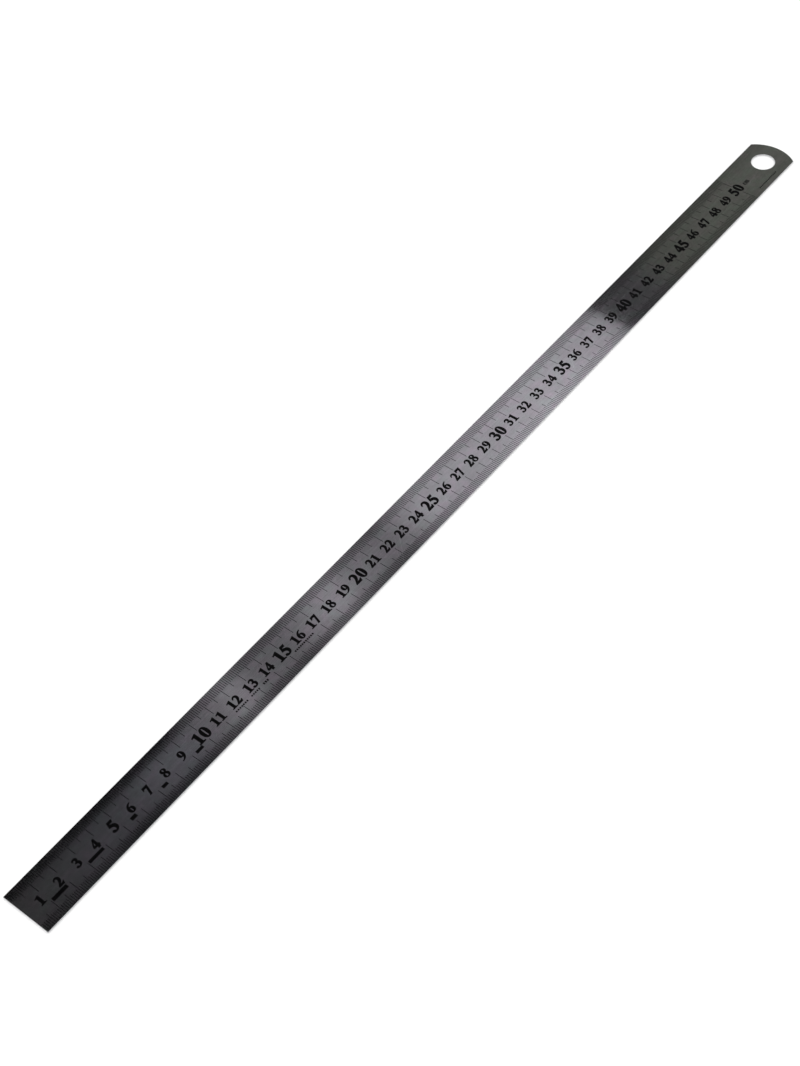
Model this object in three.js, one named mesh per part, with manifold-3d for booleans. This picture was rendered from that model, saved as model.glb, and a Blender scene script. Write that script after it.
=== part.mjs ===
// A 500 mm steel rule: one flat stainless strip, square at the zero end, round at the far end,
// where a hole lets it hang. The long lines of its scale are cut into the front face along both edges.
//
// Millimetres, +Z up. The origin is at the centre of the back face, which the rule rests on.
// +X runs along the strip from the zero end to the hole, and +Y points to the edge that the
// figures' tops face.

import * as THREE from 'three';
import { mergeGeometries, mergeVertices } from 'three/addons/utils/BufferGeometryUtils.js';
import Module from 'manifold-3d';

// Strip
const LENGTH = 538;
const WIDTH = 25;
const THICKNESS = 0.8;
const END_RADIUS = 20; // of the round far end, more than half the width, so two corners are left
const END_STEPS = 28; // straight stretches in the round end

// Hang hole
const HOLE_DIAMETER = 12;
const HOLE_TO_ZERO_END = 525; // from the zero end's face to the hole's centre
const HOLE_STEPS = 48;

// Scale: the zero end's face is 0 and takes no line
const SCALE_LENGTH = 500;
const LINE_SPACING = 5;
const LINE_WIDTH = 0.25;
const LINE_DEPTH = 0.05;
const UPPER_LINES = { side: 1, centimetre: 9.6, halfCentimetre: 7.4 }; // lengths measured in from the edge
const LOWER_LINES = { side: -1, centimetre: 8.7, halfCentimetre: 6.3 };
const CUT_PAST_EDGE = 1; // how far the cutters reach past the steel on their open sides

const ZERO_X = -LENGTH / 2;
const HALF_WIDTH = WIDTH / 2;

function outline() {
  const centreX = ZERO_X + LENGTH - END_RADIUS;
  const cornerAngle = Math.asin(HALF_WIDTH / END_RADIUS);
  const shape = new THREE.Shape();
  shape.moveTo(ZERO_X, -HALF_WIDTH);
  shape.lineTo(centreX + END_RADIUS * Math.cos(cornerAngle), -HALF_WIDTH);
  for (let step = 1; step <= END_STEPS; step += 1) {
    const angle = cornerAngle * ((2 * step) / END_STEPS - 1);
    shape.lineTo(centreX + END_RADIUS * Math.cos(angle), END_RADIUS * Math.sin(angle));
  }
  shape.lineTo(ZERO_X, HALF_WIDTH);
  shape.closePath();
  return shape;
}

function hangHole() {
  const centreX = ZERO_X + HOLE_TO_ZERO_END;
  const circle = new THREE.Path();
  for (let step = 0; step < HOLE_STEPS; step += 1) {
    const angle = (-2 * Math.PI * step) / HOLE_STEPS;
    const x = centreX + (HOLE_DIAMETER / 2) * Math.cos(angle);
    const y = (HOLE_DIAMETER / 2) * Math.sin(angle);
    if (step === 0) circle.moveTo(x, y);
    else circle.lineTo(x, y);
  }
  circle.closePath();
  return circle;
}

function strip() {
  const shape = outline();
  shape.holes.push(hangHole());
  return new THREE.ExtrudeGeometry(shape, { depth: THICKNESS, bevelEnabled: false, steps: 1 });
}

// One scale line's cutter, which is open at the front face and at the long edge on that side (+1 or -1)
function lineCutter(distance, length, side) {
  const y = side * (HALF_WIDTH + (CUT_PAST_EDGE - length) / 2);
  const z = THICKNESS + (CUT_PAST_EDGE - LINE_DEPTH) / 2;
  const cutter = new THREE.BoxGeometry(LINE_WIDTH, length + CUT_PAST_EDGE, LINE_DEPTH + CUT_PAST_EDGE);
  return cutter.translate(ZERO_X + distance, y, z);
}

function scaleCutters() {
  const cutters = [];
  for (const lines of [LOWER_LINES, UPPER_LINES]) {
    for (let distance = LINE_SPACING; distance <= SCALE_LENGTH; distance += LINE_SPACING) {
      const wholeCentimetre = distance % (2 * LINE_SPACING) === 0;
      const length = wholeCentimetre ? lines.centimetre : lines.halfCentimetre;
      cutters.push(lineCutter(distance, length, lines.side));
    }
  }
  return mergeGeometries(cutters);
}

function toSolid(wasm, geometry) {
  const bare = geometry.clone();
  bare.deleteAttribute('normal');
  bare.deleteAttribute('uv');
  const merged = mergeVertices(bare);
  const mesh = new wasm.Mesh({
    numProp: 3,
    vertProperties: new Float32Array(merged.attributes.position.array),
    triVerts: new Uint32Array(merged.index.array),
  });
  return new wasm.Manifold(mesh);
}

function toGeometry(solid) {
  const mesh = solid.getMesh();
  const geometry = new THREE.BufferGeometry();
  geometry.setAttribute('position', new THREE.BufferAttribute(new Float32Array(mesh.vertProperties), 3));
  geometry.setIndex(new THREE.BufferAttribute(new Uint32Array(mesh.triVerts), 1));
  geometry.computeVertexNormals();
  return geometry;
}

const wasm = await Module();
wasm.setup();

const satinSteel = new THREE.MeshStandardMaterial({ color: 0x9a989c, roughness: 0.2, metalness: 1 });
const ruledStrip = toSolid(wasm, strip()).subtract(toSolid(wasm, scaleCutters()));
const blade = new THREE.Mesh(toGeometry(ruledStrip), satinSteel);
blade.name = 'blade';

const rule = new THREE.Group();
rule.add(blade);

export default rule;
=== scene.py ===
"""The looks of a 500 mm steel rule: a satin stainless blade whose etched marks hold black enamel."""

import math
from collections import defaultdict

import bpy
from mathutils import Matrix, Vector
from mathutils.geometry import delaunay_2d_cdt


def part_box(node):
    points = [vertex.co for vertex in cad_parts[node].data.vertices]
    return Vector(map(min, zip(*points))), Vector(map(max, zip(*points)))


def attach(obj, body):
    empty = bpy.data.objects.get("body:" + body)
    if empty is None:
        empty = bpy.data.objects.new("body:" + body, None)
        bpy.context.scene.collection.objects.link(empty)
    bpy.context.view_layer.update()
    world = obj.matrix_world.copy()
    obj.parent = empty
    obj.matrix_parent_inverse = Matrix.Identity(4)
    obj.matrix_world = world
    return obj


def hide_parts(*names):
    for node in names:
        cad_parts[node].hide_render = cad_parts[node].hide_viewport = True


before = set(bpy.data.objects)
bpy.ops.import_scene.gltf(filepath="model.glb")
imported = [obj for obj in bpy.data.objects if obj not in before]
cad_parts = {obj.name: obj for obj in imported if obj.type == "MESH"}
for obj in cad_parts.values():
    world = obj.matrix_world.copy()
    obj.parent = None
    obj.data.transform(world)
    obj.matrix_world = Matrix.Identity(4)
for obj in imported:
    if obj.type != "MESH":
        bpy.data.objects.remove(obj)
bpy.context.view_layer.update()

# ---------------------------------------------------------------------------------------------
# Sizes, in millimetres. x runs along the blade, y across it, z up out of the front face.
# ---------------------------------------------------------------------------------------------

MM = 0.001  # metres
LOW, HIGH = (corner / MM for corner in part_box("blade"))
ZERO_X = LOW.x  # the zero end's face, where the scale starts
HALF_WIDTH = HIGH.y
THICKNESS = HIGH.z - LOW.z
END_RADIUS = 20
END_CENTRE = HIGH.x - END_RADIUS
END_STEPS = 48
HOLE_X = ZERO_X + 525
HOLE_RADIUS = 6
HOLE_STEPS = 96
EDGE_BREAK = 0.1  # radius of the rounding that deburring leaves on every edge
EDGE_STEPS = 4

RECESS = 0.05  # depth of the etched marks
ENAMEL_BELOW = 0.012  # how far the enamel's surface lies under the steel's
ENAMEL_GAP = 0.002  # between the enamel and the recess's floor, so that the two are not one surface

SCALE_LENGTH = 500
CENTIMETRE = 10
LINE_WIDTH = 0.25
LINE_TO_EDGE = 0.05  # from a line's outer end to where the edge's rounding starts
UPPER_LINES = {1: 4.8, 5: 7.4, 10: 9.6}  # reach from the edge, by the multiple of a millimetre marked
LOWER_LINES = {1: 4.3, 5: 6.3, 10: 8.7}

FIGURE_HEIGHT = 4.6
FIFTH_FIGURE_HEIGHT = 5.7  # of 5, 10, 15 and so on
FIGURE_Y = -0.25  # of every figure's middle
BEFORE_LINE = {1: 2.4, 2: 0.8}  # from a figure's middle to its line, by how many digits it has
UNIT_HEIGHT = 1.9
UNIT_START = 505
UNIT_Y = -1.2
UPPER_BAR_Y = -4.2
BARS = (  # plain bars where small print would be: start, end and height
    (10.6, 18.5, 1.9),
    (30.5, 38.5, 1.6),
    (54, 57, 1.8),
    (72, 75, 1.6),
    (92, 96, 1.5),
)
DASH_STEP = 1.1
DASH_LENGTH = 0.75
DASHES = (  # broken bars where the print is finer still: start, end, middle's y and height
    (116, 124, UPPER_BAR_Y, 0.8),
    (125.5, 131, UPPER_BAR_Y, 0.8),
    (133, 137, UPPER_BAR_Y, 1.1),
    (153, 166, UPPER_BAR_Y, 0.9),
    (507, 523, -9.3, 0.6),
)

# ---------------------------------------------------------------------------------------------
# Figures: a bold face with serifs. Each outline is in hundredths of its own height, with M, L and C
# as in a vector drawing, and every outline closes on its start. An inner outline is a counter.
# ---------------------------------------------------------------------------------------------

GLYPH_HEIGHT = 100
DIGIT_ADVANCE = 74
DIGIT_CENTRE = 34
LETTER_GAP = 7
CURVE_STEPS = 6
INK_SPREAD = 4.4  # how much heavier than drawn a glyph is on every side
SHARPEST = 0.5  # limits how far a sharp corner moves outwards
KEEP_INSIDE = 1  # tells the triangulation to drop what lies outside every outline
SAME_POINT = 1e-5  # points closer than this become one
GLYPHS = {
    "0": "M34 100 C53 100 65 79 65 50 C65 21 53 0 34 0 C15 0 3 21 3 50 C3 79 15 100 34 100 "
    "M34 95 C26 95 24 80 24 50 C24 20 26 5 34 5 C42 5 44 20 44 50 C44 80 42 95 34 95",
    "1": "M10 0 L64 0 L64 4 C52 4.5 48 7 48 15 L48 100 L45 100 L9 86 L9 82 C20 86 26 84 26 74 "
    "L26 15 C26 7 22 4.5 10 4",
    "2": "M3 0 L57 0 L65 25 L61 25 C58 19 55 17 48 17 L24 17 C46 35 59 50 59 70 "
    "C59 88 48 100 32 100 C18 100 8 91 4 75 L8 74 C12 84 18 88 25 88 C34 88 39 81 39 71 "
    "C39 54 27 35 3 5",
    "3": "M6 80 C11 93 21 100 34 100 C48 100 57 92 57 80 C57 71 52 64 43 60 C56 56 63 47 63 34 "
    "C63 14 48 0 24 0 C11 0 3 4 3 12 C3 17 7 20 12 20 C21 20 25 8 32 8 C40 8 44 15 44 26 "
    "C44 41 35 49 19 49 L19 53 C32 56 38 63 38 74 C38 83 33 88 26 88 C19 88 14 85 10 78",
    "4": "M36 0 L56 0 L56 20 L67 20 L67 36 L56 36 L56 100 L45 100 L3 35 L3 20 L36 20 "
    "M36 36 L12 36 L36 75",
    "5": "M22 99 L59 99 L53 82 L27 82 L22 71 C47 68 62 55 62 35 C62 14 46 0 23 0 "
    "C10 0 3 4 3 12 C3 17 7 20 12 20 C21 20 24 8 31 8 C39 8 43 15 43 25 C43 42 31 51 8 54",
    "6": "M63 100 C30 96 4 73 4 38 C4 14 16 0 35 0 C53 0 64 14 64 33 C64 50 54 62 41 62 "
    "C36 62 32 61 27 58 C31 77 43 91 63 96 "
    "M26 51 C29 53 32 54 35 54 C42 54 44 46 44 30 C44 13 42 5 35 5 C28 5 25 13 25 32 "
    "C25 40 25 46 26 51",
    "7": "M10 100 L65 100 L65 96 L36 0 L20 0 L47 82 L24 82 C15 82 11 79 7 70 L3 71",
    "8": "M34 100 C50 100 60 91 60 79 C60 69 55 62 45 56 C58 49 64 41 64 28 C64 11 52 0 34 0 "
    "C16 0 4 11 4 26 C4 38 11 46 22 51 C12 58 7 66 7 77 C7 91 18 100 34 100 "
    "M34 95 C27 95 23 90 23 82 C23 74 29 67 38 61 C43 66 45 72 45 80 C45 89 41 95 34 95 "
    "M28 47 C22 42 20 35 20 26 C20 12 26 5 34 5 C42 5 47 11 47 19 C47 30 40 39 28 47",
    "c": "M60 72 C60 66 56 60 49 60 C38 60 42 92 33 92 C26 92 24 74 24 54 C24 30 31 16 42 16 "
    "C49 16 54 20 58 27 L62 24 C57 9 47 0 33 0 C14 0 3 16 3 48 C3 80 16 100 36 100 "
    "C50 100 60 88 60 72",
    "m": "M2 0 L36 0 L36 5 C31 6 30 8 30 14 L30 74 C36 82 41 86 46 86 C52 86 54 80 54 70 "
    "L54 14 C54 8 53 6 48 5 L48 0 L82 0 L82 5 C77 6 76 8 76 14 L76 74 C82 82 87 86 92 86 "
    "C98 86 100 80 100 70 L100 14 C100 8 99 6 94 5 L94 0 L128 0 L128 5 C123 6 122 8 122 14 "
    "L122 72 C122 90 116 100 103 100 C92 100 83 94 75 82 C73 94 66 100 56 100 "
    "C46 100 38 94 30 83 L30 98 L2 98 L2 93 C7 92 8 90 8 84 L8 14 C8 8 7 6 2 5",
}


def curve(start, control_a, control_b, end):
    """Points along a cubic curve, without its start."""
    points = []
    for step in range(1, CURVE_STEPS + 1):
        t = step / CURVE_STEPS
        weights = ((1 - t) ** 3, 3 * t * (1 - t) ** 2, 3 * t * t * (1 - t), t**3)
        corners = (start, control_a, control_b, end)
        points.append(tuple(sum(w * c[axis] for w, c in zip(weights, corners)) for axis in (0, 1)))
    return points


def glyph(name):
    """A glyph's closed outlines, in hundredths of its height."""
    if name == "9":  # a 6 turned upside down
        return [[(2 * DIGIT_CENTRE - x, GLYPH_HEIGHT - y) for x, y in path] for path in glyph("6")]
    outlines = []
    for command, *numbers in split_commands(GLYPHS[name]):
        points = list(zip(numbers[::2], numbers[1::2]))
        if command == "M":
            outlines.append(points)
        elif command == "L":
            outlines[-1] += points
        else:
            outlines[-1] += curve(outlines[-1][-1], *points)
    return spread_ink([path[:-1] if path[0] == path[-1] else path for path in outlines])


def split_commands(path):
    """Turns "M1 2 L3 4" into [("M", 1, 2), ("L", 3, 4)]."""
    commands = []
    for word in path.split():
        if word[0].isalpha():
            commands.append([word[0]])
            word = word[1:]
        commands[-1].append(float(word))
    return commands


def write(text, x, y, height, advances):
    """The outlines of a text whose first glyph's origin is at x, y."""
    outlines = []
    size = height / GLYPH_HEIGHT
    for letter, advance in zip(text, advances):
        outlines += [[(x + u * size, y + v * size) for u, v in path] for path in glyph(letter)]
        x += advance * size
    return outlines


def spread_ink(outlines):
    """Moves a glyph's outlines away from its ink, so that strokes thicken and counters shrink."""
    side = 1 if area(outlines[0]) > 0 else -1
    moved = []
    for path in outlines:
        points = [Vector(p) for p in path]
        normals = []
        for here, after in zip(points, points[1:] + points[:1]):
            along = (after - here).normalized()
            normals.append(Vector((along.y, -along.x)) * side)
        corners = zip(points, normals[-1:] + normals[:-1], normals)
        moved.append([tuple(p + (a + b) * INK_SPREAD / max(1 + a.dot(b), SHARPEST)) for p, a, b in corners])
    return moved


# ---------------------------------------------------------------------------------------------
# Marks: each group is a list of outlines, and becomes one piece of enamel
# ---------------------------------------------------------------------------------------------


def rectangle(x0, y0, x1, y1):
    return [(x0, y0), (x1, y0), (x1, y1), (x0, y1)]


def scale_lines(side, lengths):
    """Groups of lines by what they mark, along the upper (side 1) or lower (side -1) edge."""
    groups = defaultdict(list)
    start = HALF_WIDTH - EDGE_BREAK - LINE_TO_EDGE
    for distance in range(1, SCALE_LENGTH + 1):
        multiple = max(m for m in lengths if distance % m == 0)
        x = ZERO_X + distance
        end = HALF_WIDTH - lengths[multiple]
        low, high = sorted((side * start, side * end))
        line = rectangle(x - LINE_WIDTH / 2, low, x + LINE_WIDTH / 2, high)
        groups[multiple].append(line)
    return groups


def figures():
    outlines = []
    for number in range(1, SCALE_LENGTH // CENTIMETRE + 1):
        text = str(number)
        height = FIGURE_HEIGHT if number % 5 else FIFTH_FIGURE_HEIGHT
        size = height / GLYPH_HEIGHT
        middle = ZERO_X + CENTIMETRE * number - BEFORE_LINE[len(text)]
        x = middle - (DIGIT_CENTRE + DIGIT_ADVANCE * (len(text) - 1) / 2) * size
        outlines += write(text, x, FIGURE_Y - height / 2, height, [DIGIT_ADVANCE] * len(text))
    return outlines


def unit_mark():
    advances = [max(x for x, y in glyph(letter)[0]) + LETTER_GAP for letter in "cm"]
    return write("cm", ZERO_X + UNIT_START, UNIT_Y - UNIT_HEIGHT / 2, UNIT_HEIGHT, advances)


def bar(start, end, y, height):
    return rectangle(ZERO_X + start, y - height / 2, ZERO_X + end, y + height / 2)


def bars():
    outlines = [bar(start, end, UPPER_BAR_Y, height) for start, end, height in BARS]
    for start, end, y, height in DASHES:
        for number in range(int((end - start) / DASH_STEP)):
            dash = start + number * DASH_STEP
            outlines.append(bar(dash, dash + DASH_LENGTH, y, height))
    return outlines


def all_marks():
    names = {1: "millimetre", 5: "five_millimetre", 10: "centimetre"}
    marks = {}
    for edge, side, lengths in (("upper", 1, UPPER_LINES), ("lower", -1, LOWER_LINES)):
        for multiple, lines in scale_lines(side, lengths).items():
            marks[f"{edge}_{names[multiple]}_lines"] = lines
    marks["centimetre_figures"] = figures()
    marks["unit_mark"] = unit_mark()
    marks["plain_bars"] = bars()
    return marks


# ---------------------------------------------------------------------------------------------
# Meshes
# ---------------------------------------------------------------------------------------------


class Shell:
    """The vertices and faces of one closed mesh, in millimetres."""

    def __init__(self):
        self.points = []
        self.faces = []
        self.smooth = []

    def add_points(self, outline, z):
        """Adds an outline's points at height z, and returns their numbers."""
        first = len(self.points)
        self.points += [(x, y, z) for x, y in outline]
        return list(range(first, len(self.points)))

    def add_face(self, corners, smooth=False):
        self.faces.append(corners)
        self.smooth.append(smooth)

    def add_band(self, lower, upper, smooth=False):
        """Joins two closed rings, which run anticlockwise round what is solid."""
        for i in range(len(lower)):
            j = (i + 1) % len(lower)
            self.add_face((lower[i], lower[j], upper[j], upper[i]), smooth)

    def make(self, name, material):
        mesh = bpy.data.meshes.new(name)
        mesh.from_pydata([Vector(p) * MM for p in self.points], [], self.faces)
        mesh.polygons.foreach_set("use_smooth", self.smooth)
        mesh.materials.append(material)
        mesh.update()
        piece = bpy.data.objects.new(name, mesh)
        bpy.context.scene.collection.objects.link(piece)
        return piece


def spread(first, last, steps):
    return [first + (last - first) * step / steps for step in range(steps + 1)]


def rim(inset):
    """The blade's outline, anticlockwise, drawn that far inside its true edge."""
    half = HALF_WIDTH - inset
    radius = END_RADIUS - inset
    corner = math.asin(half / radius)
    turn = spread(-corner, corner, END_STEPS)
    arc = [(END_CENTRE + radius * math.cos(a), radius * math.sin(a)) for a in turn]
    return [(ZERO_X + inset, -half), *arc, (ZERO_X + inset, half)]


def hole(inset):
    """The hang hole's outline, clockwise, so that the solid is on the same side as the rim's."""
    radius = HOLE_RADIUS + inset
    turn = spread(2 * math.pi, 0, HOLE_STEPS)[:-1]
    return [(HOLE_X + radius * math.cos(a), radius * math.sin(a)) for a in turn]


def area(outline):
    """An outline's area, which is negative when it runs clockwise."""
    return sum(a[0] * b[1] - b[0] * a[1] for a, b in zip(outline, outline[1:] + outline[:1])) / 2


def divide_face(marks):
    """Cuts one flat face of the blade into triangles. Returns its points, the triangles of bare steel,
    each mark group's triangles, and the numbers of the points on the rim and on the hole."""
    outlines = [rim(EDGE_BREAK), hole(EDGE_BREAK)]
    hole_loop = 1
    groups = [None, None]
    for name, paths in marks.items():
        outlines += paths
        groups += [name] * len(paths)
    points, loops = [], []
    for outline in outlines:
        loops.append(list(range(len(points), len(points) + len(outline))))
        points += [Vector(p) for p in outline]
    anticlockwise = [loop if area([points[i] for i in loop]) > 0 else loop[::-1] for loop in loops]
    cut = delaunay_2d_cdt(points, [], anticlockwise, KEEP_INSIDE, SAME_POINT)
    found, _, triangles, same_points, _, inside = cut
    steel, filled = [], defaultdict(list)
    for triangle, loops_round in zip(triangles, inside):
        if hole_loop in loops_round:
            continue
        counts = defaultdict(int)
        for loop in loops_round:
            counts[groups[loop]] += 1
        odd = [name for name, count in counts.items() if name and count % 2]
        if odd:
            filled[odd[0]].append(tuple(triangle))
        else:
            steel.append(tuple(triangle))
    new_number = {old: new for new, olds in enumerate(same_points) for old in olds}
    rings = [[new_number[i] for i in loop] for loop in loops[:2]]
    return [tuple(p) for p in found], steel, filled, rings


def edges_of(triangles):
    return {(t[i], t[(i + 1) % 3]) for t in triangles for i in range(3)}


def build_blade(front, material):
    """The steel: the front face with its recesses, the rounded edges, the back and the hole's wall."""
    points, steel, filled, front_rings = front
    shell = Shell()
    top = shell.add_points(points, THICKNESS)
    for triangle in steel:
        shell.add_face([top[i] for i in triangle])
    cut_out = [triangle for group in filled.values() for triangle in group]
    used = sorted({i for triangle in cut_out for i in triangle})
    floor = dict(zip(used, shell.add_points([points[i] for i in used], THICKNESS - RECESS)))
    for triangle in cut_out:
        shell.add_face([floor[i] for i in triangle])
    cut_edges = edges_of(cut_out)
    for a, b in edges_of(steel):
        if (b, a) in cut_edges:
            shell.add_face((top[b], top[a], floor[a], floor[b]))

    back_points, back_steel, _, back_rings = divide_face({})
    bottom = shell.add_points(back_points, 0)
    for a, b, c in back_steel:
        shell.add_face((bottom[c], bottom[b], bottom[a]))

    turn = spread(0, math.pi / 2, EDGE_STEPS)
    for outline, top_ring, bottom_ring in zip((rim, hole), front_rings, back_rings):
        rings = [[bottom[i] for i in bottom_ring]]
        for angle in turn[1:]:
            inset = EDGE_BREAK * (1 - math.sin(angle))
            rings.append(shell.add_points(outline(inset), EDGE_BREAK * (1 - math.cos(angle))))
        for angle in turn[::-1][:-1]:
            inset = EDGE_BREAK * (1 - math.sin(angle))
            height = THICKNESS - EDGE_BREAK * (1 - math.cos(angle))
            rings.append(shell.add_points(outline(inset), height))
        rings.append([top[i] for i in top_ring])
        for lower, upper in zip(rings, rings[1:]):
            shell.add_band(lower, upper, smooth=outline is hole)
    return shell.make("blade_steel", material)


def build_enamel(name, points, triangles, material):
    """One group's enamel: it fills its recesses to just under the steel's face."""
    shell = Shell()
    used = sorted({i for triangle in triangles for i in triangle})
    outline = [points[i] for i in used]
    top = dict(zip(used, shell.add_points(outline, THICKNESS - ENAMEL_BELOW)))
    bottom = dict(zip(used, shell.add_points(outline, THICKNESS - RECESS + ENAMEL_GAP)))
    edges = edges_of(triangles)
    for a, b, c in triangles:
        shell.add_face((top[a], top[b], top[c]))
        shell.add_face((bottom[c], bottom[b], bottom[a]))
    for a, b in edges:
        if (b, a) not in edges:
            shell.add_face((bottom[a], bottom[b], top[b], top[a]))
    return shell.make(name, material)


# ---------------------------------------------------------------------------------------------
# Materials
# ---------------------------------------------------------------------------------------------

VIOLET_STEEL = (0.65, 0.595, 0.645, 1)
GREEN_STEEL = (0.58, 0.62, 0.61, 1)
HANDLED_STEEL = (0.49, 0.485, 0.49, 1)
STAINED_STEEL = (0.50, 0.49, 0.50, 1)
GROUND_STEEL = (0.58, 0.58, 0.585, 1)
SCRATCHES = ((3, 8200), (-8, 7100), (24, 6300), (-47, 5400))  # degrees from lengthwise, and how fine
DARK_ENAMEL = (0.0008, 0.0008, 0.001, 1)
LIGHT_ENAMEL = (0.002, 0.002, 0.0023, 1)
PALE_FLOOR = (0.86, 0.86, 0.86, 1)


class Nodes:
    """The node tree of a material or a world."""

    def __init__(self, owner):
        owner.use_nodes = True
        self.owner = owner
        self.tree = owner.node_tree

    def output(self):
        """The socket that the whole tree ends in."""
        ends = (node for node in self.tree.nodes if node.bl_idname.startswith("ShaderNodeOutput"))
        return next(ends).inputs["Surface"]

    def add(self, kind, inputs=None, **settings):
        node = self.tree.nodes.new(kind)
        for key, value in settings.items():
            setattr(node, key, value)
        for key, value in (inputs or {}).items():
            self.connect(value, node.inputs[key])
        return node

    def connect(self, value, socket):
        if isinstance(value, bpy.types.NodeSocket):
            self.tree.links.new(value, socket)
        else:
            socket.default_value = value

    def place(self, scale, turn=0):
        """Object coordinates, in metres, turned about z by that many degrees and then scaled."""
        where = self.add("ShaderNodeTexCoord").outputs["Object"]
        spin = (0, 0, math.radians(turn))
        turned = self.add("ShaderNodeMapping", {"Vector": where, "Rotation": spin}).outputs[0]
        return self.add("ShaderNodeMapping", {"Vector": turned, "Scale": scale}).outputs[0]

    def noise(self, scale, detail, turn=0):
        inputs = {"Vector": self.place(scale, turn), "Scale": 1, "Detail": detail}
        return self.add("ShaderNodeTexNoise", inputs).outputs["Fac"]

    def remap(self, value, low, high, new_low, new_high):
        inputs = {0: value, 1: low, 2: high, 3: new_low, 4: new_high}
        return self.add("ShaderNodeMapRange", inputs).outputs[0]

    def flank(self):
        """1 on what lies between the blade's two faces, and 0 on the faces."""
        where = self.add("ShaderNodeTexCoord").outputs["Object"]
        height = self.add("ShaderNodeSeparateXYZ", {"Vector": where}).outputs["Z"]
        bottom = self.remap(height, 0, EDGE_BREAK * MM, 0, 1)
        top = self.remap(height, (THICKNESS - EDGE_BREAK) * MM, (THICKNESS - RECESS) * MM, 1, 0)
        return self.math("MULTIPLY", bottom, top)

    def scale(self, colour, factor):
        inputs = {0: colour, "Scale": factor}
        return self.add("ShaderNodeVectorMath", inputs, operation="SCALE").outputs[0]

    def math(self, operation, a, b):
        return self.add("ShaderNodeMath", {0: a, 1: b}, operation=operation).outputs[0]

    def dot(self, a, b):
        node = self.add("ShaderNodeVectorMath", {0: a, 1: b}, operation="DOT_PRODUCT")
        return node.outputs["Value"]

    def mix(self, factor, a, b):
        """Two colours mixed: a where the factor is 0 and b where it is 1."""
        node = self.add("ShaderNodeMix", data_type="RGBA")
        for name, value in (("Factor", factor), ("A", a), ("B", b)):
            socket = next(s for s in node.inputs if s.name == name and s.enabled)
            self.connect(value, socket)
        return next(s for s in node.outputs if s.enabled)


def new_material(name):
    """A new material's nodes and its shader."""
    n = Nodes(bpy.data.materials.new(name))
    return n, n.tree.nodes["Principled BSDF"]


def steel_material():
    """Cold-rolled stainless: a fine lengthwise grain, hairline scratches and the marks of handling. The
    narrow side faces and the hole's wall are ground, so they are rougher and greyer."""
    n, shader = new_material("satin_stainless")
    fine_grain = n.noise((150, 16000, 16000), 2)
    grain = n.noise((45, 5200, 5200), 3)
    streaks = n.noise((9, 1300, 1300), 2)
    handling = n.noise((60, 110, 110), 3)
    film = n.noise((150, 190, 190), 2)
    stain = n.noise((330, 420, 420), 3)
    ground = n.flank()
    scratches = 0
    for turn, fineness in SCRATCHES:
        hair = n.remap(n.noise((40, fineness, fineness), 0, turn), 0.735, 0.765, 0, 1)
        scratches = n.math("MAXIMUM", scratches, hair)
    scratches = n.math("MULTIPLY", scratches, n.math("SUBTRACT", 1, ground))

    roughness = n.remap(streaks, 0.3, 0.7, 0.07, 0.1)
    roughness = n.math("ADD", roughness, n.remap(grain, 0.3, 0.7, 0, 0.01))
    roughness = n.math("ADD", roughness, n.remap(handling, 0.5, 0.75, 0, 0.03))
    roughness = n.math("ADD", roughness, n.math("MULTIPLY", scratches, 0.06))
    roughness = n.math("ADD", roughness, n.math("MULTIPLY", ground, 0.25))
    n.connect(roughness, shader.inputs["Roughness"])

    clean = n.mix(n.remap(film, 0.36, 0.64, 0, 1), VIOLET_STEEL, GREEN_STEEL)
    handled = n.mix(n.remap(handling, 0.35, 0.75, 0, 0.7), clean, HANDLED_STEEL)
    stained = n.mix(n.remap(stain, 0.35, 0.7, 0, 0.6), handled, STAINED_STEEL)
    plain = n.mix(ground, stained, GROUND_STEEL)
    rolled = n.math("ADD", n.remap(grain, 0.3, 0.7, 0.95, 1.08), n.remap(streaks, 0.3, 0.7, -0.04, 0.04))
    worn = n.math("ADD", rolled, n.math("MULTIPLY", scratches, 0.12))
    n.connect(n.scale(plain, worn), shader.inputs["Base Color"])

    relief = n.math("ADD", n.math("MULTIPLY", fine_grain, 0.5), n.math("MULTIPLY", grain, 0.4))
    relief = n.math("SUBTRACT", relief, n.math("MULTIPLY", scratches, 0.3))
    bump = n.add("ShaderNodeBump", {"Height": relief, "Distance": 0.000002, "Strength": 0.5})
    n.connect(bump.outputs[0], shader.inputs["Normal"])
    shader.inputs["Metallic"].default_value = 1
    return n.owner


def enamel_material():
    """Black enamel wiped into the marks: a little uneven, with a dull shine."""
    n, shader = new_material("black_enamel")
    wiped = n.noise((700, 1800, 1800), 3)
    ink = n.mix(n.remap(wiped, 0.35, 0.7, 0, 1), DARK_ENAMEL, LIGHT_ENAMEL)
    n.connect(ink, shader.inputs["Base Color"])
    n.connect(n.remap(wiped, 0.3, 0.7, 0.3, 0.42), shader.inputs["Roughness"])
    shader.inputs["Specular IOR Level"].default_value = 0.08
    bump = n.add("ShaderNodeBump", {"Height": wiped, "Distance": 0.000008, "Strength": 0.4})
    n.connect(bump.outputs[0], shader.inputs["Normal"])
    return n.owner


def floor_material():
    n, shader = new_material("pale_floor")
    shader.inputs["Base Color"].default_value = PALE_FLOOR
    shader.inputs["Roughness"].default_value = 0.9
    shader.inputs["Specular IOR Level"].default_value = 0.1
    return n.owner


# ---------------------------------------------------------------------------------------------
# Studio
# ---------------------------------------------------------------------------------------------

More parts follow.
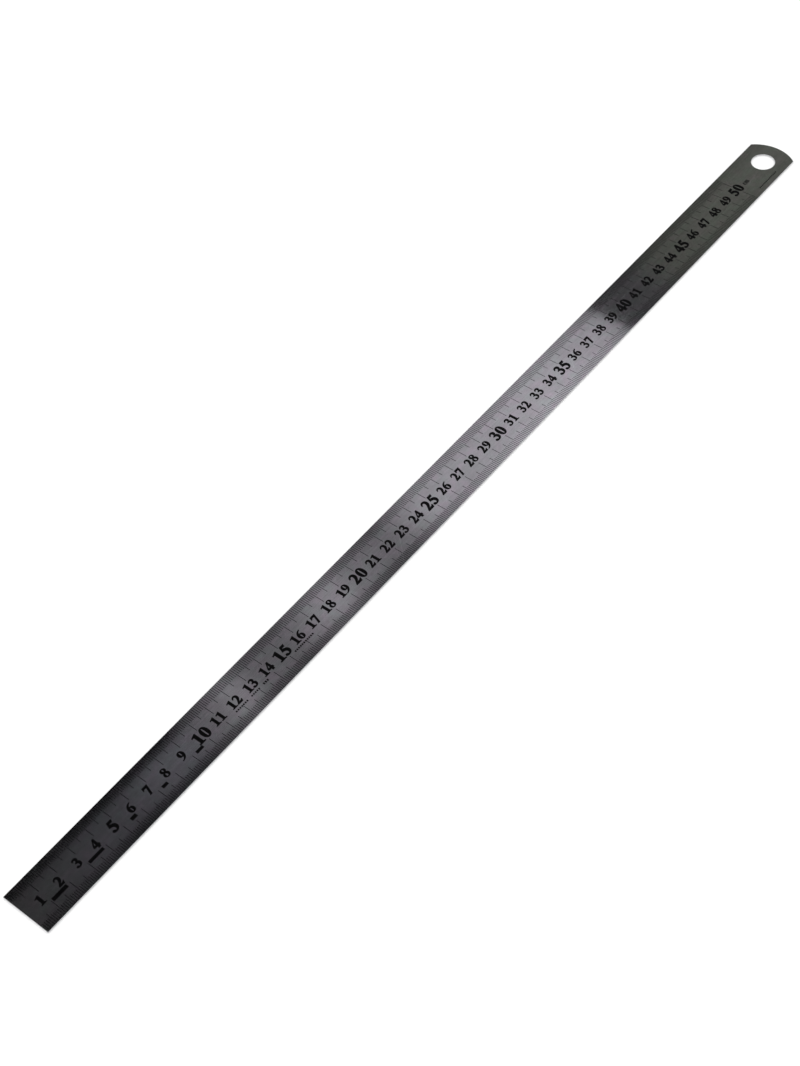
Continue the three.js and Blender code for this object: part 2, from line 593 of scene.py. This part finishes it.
# The camera looks along +X and +Y down at a point of the front face
AIM = Vector((ZERO_X + 228, -0.26, THICKNESS))
CAMERA_DISTANCE = 799.8
CAMERA_HEADING = 44.64  # degrees, from +X towards +Y
CAMERA_DOWN = 50.49
CAMERA_ROLL = -7.58
LENS = 61.87  # on a 36 mm sensor
CAMERA_FROM_AIM = Vector(
    (
        -math.cos(math.radians(CAMERA_DOWN)) * math.cos(math.radians(CAMERA_HEADING)),
        -math.cos(math.radians(CAMERA_DOWN)) * math.sin(math.radians(CAMERA_HEADING)),
        math.sin(math.radians(CAMERA_DOWN)),
    )
)
CAMERA_PLACE = AIM + CAMERA_FROM_AIM * CAMERA_DISTANCE

FLOOR_REACH = 6000  # from the middle to each side
FLOOR_GAP = 0.01  # under the blade's back, so that the two are not one surface
LIGHT = 1.3  # of the white all round, which everything but a reflection sees
ROOM_SIDE = (0.8, -0.6, 0)  # the way from the room's darker side to its lighter one
ROOM_END = (0.6, 0.8, 0)  # the way from its darker end to its lighter one

# The card's tones, by the distance from the zero end at which the camera sees the blade mirror them
NEUTRAL = (1.0, 1.0, 1.04)
COOL = (1.0, 1.0, 1.12)
VIOLET = (1.02, 0.99, 1.06)
OLIVE = (0.97, 1.02, 0.88)
TONES = (
    (-60, 0.037, NEUTRAL),
    (5, 0.041, NEUTRAL),
    (40, 0.059, COOL),
    (55, 0.065, COOL),
    (65, 0.078, COOL),
    (75, 0.108, COOL),
    (90, 0.125, COOL),
    (108, 0.17, VIOLET),
    (122, 0.305, VIOLET),
    (135, 0.162, VIOLET),
    (155, 0.17, VIOLET),
    (170, 0.29, VIOLET),
    (185, 0.375, VIOLET),
    (197, 0.25, VIOLET),
    (222, 0.197, VIOLET),
    (248, 0.465, VIOLET),
    (290, 0.48, VIOLET),
    (325, 0.56, VIOLET),
    (350, 0.53, VIOLET),
    (375, 0.46, VIOLET),
    (387.4, 0.37, VIOLET),
    (387.6, 0.065, NEUTRAL),
    (415, 0.071, NEUTRAL),
    (435, 0.098, OLIVE),
    (470, 0.123, OLIVE),
    (560, 0.139, OLIVE),
    (660, 0.139, OLIVE),
)
# The share by which the card is lighter or darker where an edge mirrors it, by the same distance
UPPER_EDGE = (
    (-60, -0.94),
    (90, -0.94),
    (110, -0.28),
    (200, -0.29),
    (220, -0.35),
    (245, -0.25),
    (260, -0.09),
    (385, -0.13),
    (390, -0.27),
    (450, -0.2),
    (660, -0.2),
)
LOWER_EDGE = (
    (-60, -0.49),
    (45, -0.49),
    (55, -0.76),
    (90, -0.76),
    (110, -0.44),
    (150, -0.5),
    (245, -0.5),
    (260, 0.24),
    (320, 0.24),
    (385, 0.1),
    (390, -0.1),
    (660, -0.1),
)
# The card's rows: a y on the blade, then how much of LOWER_EDGE's and of UPPER_EDGE's change it takes
ACROSS = ((-90, 1, 0), (-9.4, 1, 0), (-8.2, 0, 0), (7.2, 0, 0), (8.4, 0, 1), (50, 0, 1))
CARD_HEIGHT = 100


def add_camera():
    data = bpy.data.cameras.new("camera")
    data.lens = LENS
    data.clip_start = 0.01
    camera = bpy.data.objects.new("camera", data)
    bpy.context.scene.collection.objects.link(camera)
    turn = (-CAMERA_FROM_AIM).to_track_quat("-Z", "Y").to_matrix().to_4x4()
    roll = Matrix.Rotation(math.radians(CAMERA_ROLL), 4, "Z")
    camera.matrix_world = Matrix.Translation(CAMERA_PLACE * MM) @ turn @ roll
    bpy.context.scene.camera = camera


def seen_at(distance, y, height):
    """Where the camera sees the front face, that far from the zero end, mirror at that height."""
    x = ZERO_X + distance
    reach = height / (CAMERA_PLACE.z - THICKNESS)
    return (x + (x - CAMERA_PLACE.x) * reach, y + (y - CAMERA_PLACE.y) * reach, height)


def between(pairs, x):
    """The value at x on the broken line through pairs of (x, value)."""
    for (x0, value0), (x1, value1) in zip(pairs, pairs[1:]):
        if x <= x1:
            return value0 + (value1 - value0) * (x - x0) / (x1 - x0)


def add_card(name, height):
    """A glowing card that only reflections see. It has a tone of TONES where the camera sees the blade
    mirror it at that distance from the zero end, and is lighter or darker where the edges mirror it."""
    mesh = bpy.data.meshes.new(name)
    points, colours = [], []
    for distance, level, tint in TONES:
        for y, share_of_lower, share_of_upper in ACROSS:
            change = share_of_lower * between(LOWER_EDGE, distance)
            change += share_of_upper * between(UPPER_EDGE, distance)
            points.append(seen_at(distance, y, height))
            colours.append([level * part * (1 + change) for part in tint])
    row = len(ACROSS)
    faces = []
    for i in range(0, len(points) - row, row):
        faces += [(j, j + row, j + row + 1, j + 1) for j in range(i, i + row - 1)]
    mesh.from_pydata([Vector(p) * MM for p in points], [], faces)
    layer = mesh.color_attributes.new("glow", "FLOAT_COLOR", "POINT")
    for item, colour in zip(layer.data, colours):
        item.color = (*colour, 1)
    n, _ = new_material(name)
    glow = n.add("ShaderNodeVertexColor", layer_name="glow").outputs["Color"]
    light = n.add("ShaderNodeEmission", {"Color": glow, "Strength": 1.0}).outputs[0]
    n.connect(light, n.output())
    mesh.materials.append(n.owner)
    card = bpy.data.objects.new(name, mesh)
    bpy.context.scene.collection.objects.link(card)
    card.visible_camera = False
    card.visible_diffuse = False
    card.visible_shadow = False
    card.visible_transmission = False


def add_floor():
    shell = Shell()
    square = rectangle(-FLOOR_REACH, -FLOOR_REACH, FLOOR_REACH, FLOOR_REACH)
    ring = shell.add_points(square, -FLOOR_GAP)
    shell.add_face(ring)
    floor = shell.make("floor", floor_material())


def add_light():
    """An even white light all round. Reflections see a dimmer room instead: lighter near the floor and
    overhead, with one side and one end darker than the others."""
    n = Nodes(bpy.data.worlds.new("studio"))
    bpy.context.scene.world = n.owner
    white = n.add("ShaderNodeBackground", {"Color": (1, 1, 1, 1), "Strength": LIGHT}).outputs[0]

    where = n.add("ShaderNodeTexCoord").outputs["Generated"]
    height = n.add("ShaderNodeSeparateXYZ", {"Vector": where}).outputs["Z"]
    low = n.remap(height, 0, 0.35, 0.5, 0.0)
    high = n.remap(height, 0.72, 0.9, 0.0, 0.5)
    side = n.remap(n.dot(where, ROOM_SIDE), 0.1, 0.25, 0.16, 0.42)
    end = n.remap(n.dot(where, ROOM_END), -0.35, 0.35, 0.0, 0.3)
    level = n.math("ADD", n.math("ADD", low, high), n.math("ADD", side, end))
    tone = n.add("ShaderNodeCombineColor", {"Red": level, "Green": level, "Blue": level}).outputs[0]
    room = n.add("ShaderNodeBackground", {"Color": tone, "Strength": 1.0}).outputs[0]

    mirrored = n.add("ShaderNodeLightPath").outputs["Is Glossy Ray"]
    both = n.add("ShaderNodeMixShader", {0: mirrored, 1: white, 2: room}).outputs[0]
    n.connect(both, n.output())


def build_studio():
    add_camera()
    add_floor()
    add_light()
    add_card("gradient_card", CARD_HEIGHT)


# ---------------------------------------------------------------------------------------------
# The rule
# ---------------------------------------------------------------------------------------------


def build_rule():
    front = divide_face(all_marks())
    points, _, filled, _ = front
    blade = build_blade(front, steel_material())
    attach(blade, "root")
    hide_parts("blade")
    enamel = enamel_material()
    for name, triangles in filled.items():
        piece = build_enamel(name, points, triangles, enamel)
        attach(piece, "root")


build_studio()
build_rule()

bpy.context.scene.view_settings.view_transform = "Standard"
